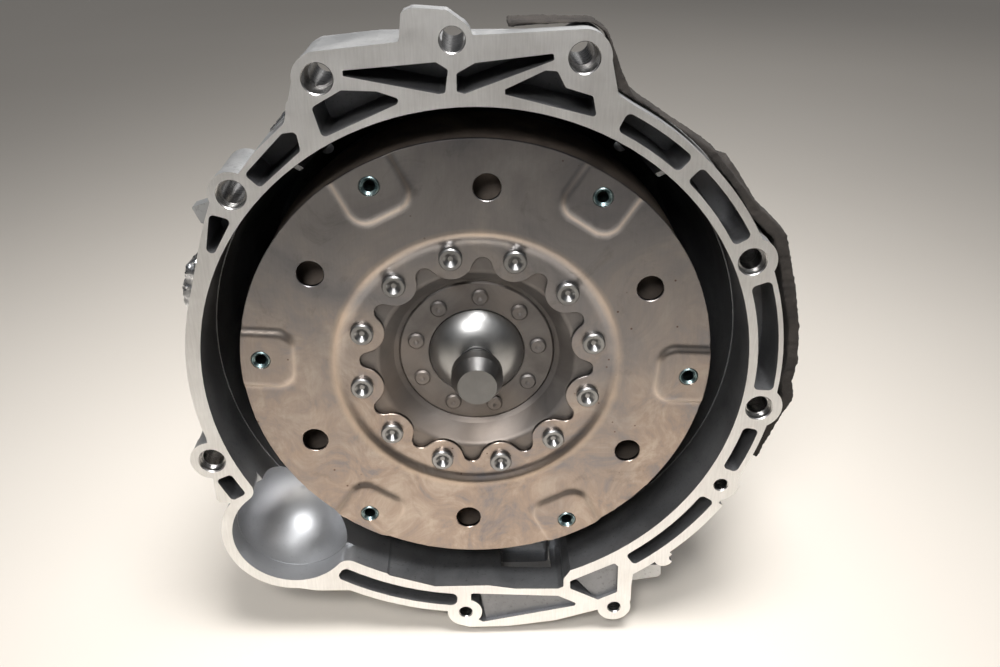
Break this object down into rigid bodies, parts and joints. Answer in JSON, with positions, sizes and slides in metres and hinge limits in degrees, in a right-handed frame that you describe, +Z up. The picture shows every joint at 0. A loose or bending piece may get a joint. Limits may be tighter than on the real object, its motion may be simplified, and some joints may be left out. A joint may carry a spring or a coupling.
{
  "type": "torque converter in bell housing",
  "caption": "Torque converter with bolted drive plate, riveted hub and crank pilot, lock-up clutch, turbine and stator, seated in a cast bell housing with starter bulge.",
  "frame": {"origin": "on the converter's axis, at the bell housing's machined engine face", "axes": "-Y towards the engine along the axis, +Z up, +X to the right seen from the engine"},
  "size_m": [0.3767, 0.217, 0.418],
  "materials": {
    "cast_aluminium": "as-cast, machined engine face",
    "bare_steel": "satin pressed steel with light oil staining",
    "turned_steel": "bright turned steel",
    "zinc_plated": "blue zinc plating",
    "black_steel": "black phosphate",
    "rubber": "matt seal rubber",
    "felt": "needled felt",
    "foil": "crumpled foil",
    "bronze": "plain bearing bronze",
    "friction_paper": "paper friction lining",
    "spring_steel": "oil-tempered spring steel"
  },
  "bodies": {
    "housing": {"bell_housing": "cast_aluminium", "dowel_sleeves": "turned_steel", "noise_mat": "felt", "foil_patches": "foil", "pump_housing": "cast_aluminium", "pump_housing_bolts": "zinc_plated", "stator_shaft": "turned_steel", "stator_shaft_screws": "black_steel", "hub_seal": "rubber", "hub_bush": "bronze", "shaft_bushes": "bronze", "freewheel_inner_race": "turned_steel", "freewheel_rollers": "turned_steel"},
    "converter": {"drive_plate": "bare_steel", "threaded_inserts": "zinc_plated", "drive_plate_screws": "turned_steel", "hub_flange": "bare_steel", "rivet_plate": "bare_steel", "hub_rivets": "bare_steel", "pilot_dome": "turned_steel", "crank_pilot": "turned_steel", "pilot_seal_rings": "rubber", "front_cover": "bare_steel", "impeller_shell": "bare_steel", "impeller_blades": "bare_steel", "impeller_core_ring": "bare_steel", "impeller_hub": "turned_steel", "front_thrust_bearing": "turned_steel", "rear_thrust_bearing": "turned_steel", "reaction_plate": "bare_steel"},
    "piston": {"lockup_piston": "bare_steel"},
    "clutch": {"clutch_disc": "bare_steel", "friction_linings": "friction_paper"},
    "turbine": {"front_spring_plate": "bare_steel", "rear_spring_plate": "bare_steel", "spring_plate_spacers": "turned_steel", "damper_springs": "spring_steel", "turbine_shell": "bare_steel", "turbine_blades": "bare_steel", "turbine_core_ring": "bare_steel", "turbine_hub": "turned_steel", "turbine_rivets": "bare_steel", "input_shaft": "turned_steel"},
    "stator": {"stator_wheel": "cast_aluminium", "freewheel_outer_race": "turned_steel", "freewheel_covers": "bronze", "middle_thrust_bearing": "turned_steel"}
  },
  "joints": [
    {"name": "converter_spin", "type": "hinge", "parent": "housing", "child": "converter", "pos_m": [0, 0.02, 0], "axis": [0, 1, 0], "continuous": true},
    {"name": "turbine_spin", "type": "hinge", "parent": "housing", "child": "turbine", "pos_m": [0, 0.09, 0], "axis": [0, 1, 0], "continuous": true},
    {"name": "stator_spin", "type": "hinge", "parent": "housing", "child": "stator", "pos_m": [0, 0.094, 0], "axis": [0, 1, 0], "continuous": true},
    {"name": "piston_slide", "type": "slide", "parent": "converter", "child": "piston", "axis": [0, 1, 0], "range_m": [0, 0.0009]},
    {"name": "damper_twist", "type": "hinge", "parent": "turbine", "child": "clutch", "pos_m": [0, 0.05, 0], "axis": [0, 1, 0], "range_deg": [-4, 4], "stiffness_Nm_per_rad": 900}
  ]
}
